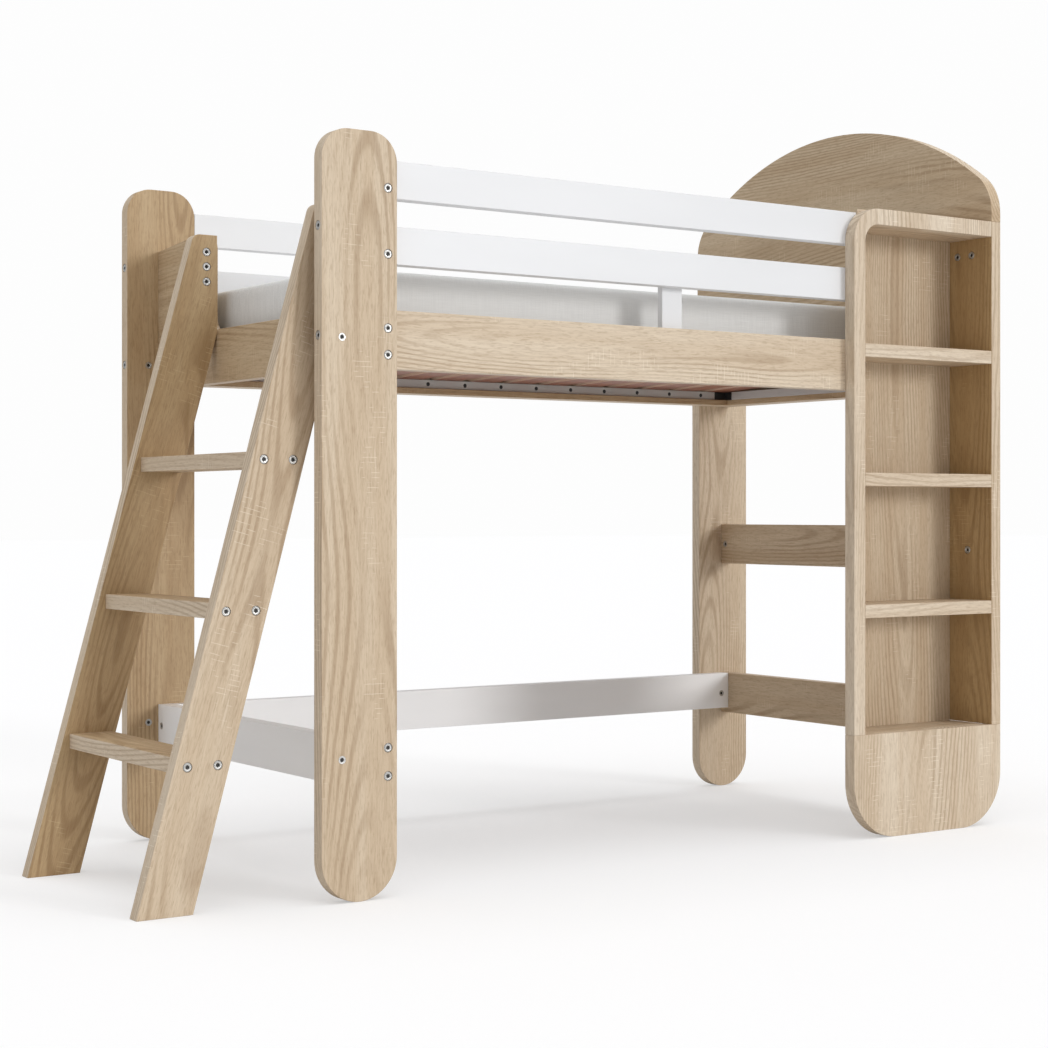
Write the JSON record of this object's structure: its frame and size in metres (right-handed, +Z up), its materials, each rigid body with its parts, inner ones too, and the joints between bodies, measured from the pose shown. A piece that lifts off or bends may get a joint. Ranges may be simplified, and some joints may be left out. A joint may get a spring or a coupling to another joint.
{
  "type": "loft bed",
  "caption": "Loft bed of oak-look boards with white guard rails, a leaning ladder, an arched headboard, a narrow open bookcase tower and a mattress on a slatted base.",
  "frame": {"origin": "middle of the footprint's bounding box, on the floor", "axes": "+X along the bed from the ladder end to the headboard end, +Y from the front to the back, +Z up"},
  "size_m": [2.728, 1.376, 2.1419],
  "materials": {
    "oak_board": "matt oak-look foil on board",
    "white_board": "matt white foil on board",
    "ledger_wood": "plain softwood",
    "slat_plywood": "red-brown film on plywood",
    "tube_steel": "satin grey paint",
    "corner_plastic": "matt black",
    "fastener_steel": "zinc plated",
    "mattress_cover": "woven light grey cover"
  },
  "bodies": {
    "root": {"barrel_nuts": "fastener_steel", "base_corners": "corner_plastic", "base_tube_back": "tube_steel", "base_tube_front": "tube_steel", "base_tube_left": "tube_steel", "base_tube_right": "tube_steel", "bookcase_back_panel": "oak_board", "bookcase_base_panel": "oak_board", "bookcase_bottom_shelf": "oak_board", "bookcase_front_frame": "oak_board", "bookcase_shelf_lower": "oak_board", "bookcase_shelf_middle": "oak_board", "bookcase_shelf_upper": "oak_board", "bookcase_side_board": "oak_board", "bookcase_slanted_side": "oak_board", "bookcase_top_board": "oak_board", "connector_bolts": "fastener_steel", "end_rail_right": "oak_board", "foot_end_board": "oak_board", "guard_rail_back_lower": "white_board", "guard_rail_back_upper": "white_board", "guard_rail_front_lower": "white_board", "guard_rail_front_upper": "white_board", "guard_rail_upright": "white_board", "headboard_arch": "oak_board", "ladder_stringer_back": "oak_board", "ladder_stringer_front": "oak_board", "ladder_tread_1": "oak_board", "ladder_tread_2": "oak_board", "ladder_tread_3": "oak_board", "ledger_back": "ledger_wood", "ledger_front": "ledger_wood", "ledger_left": "ledger_wood", "ledger_right": "ledger_wood", "low_rail_back": "white_board", "low_rail_left": "white_board", "low_rail_right": "oak_board", "mattress": "mattress_cover", "mid_rail_right": "oak_board", "post_back_left": "oak_board", "post_back_right": "oak_board", "post_front_left": "oak_board", "side_rail_back": "oak_board", "side_rail_front": "oak_board", "slat_01": "slat_plywood", "slat_02": "slat_plywood", "slat_03": "slat_plywood", "slat_04": "slat_plywood", "slat_05": "slat_plywood", "slat_06": "slat_plywood", "slat_07": "slat_plywood", "slat_08": "slat_plywood", "slat_09": "slat_plywood", "slat_10": "slat_plywood", "slat_11": "slat_plywood", "slat_12": "slat_plywood", "slat_13": "slat_plywood", "slat_14": "slat_plywood", "slat_15": "slat_plywood"}
  },
  "joints": []
}
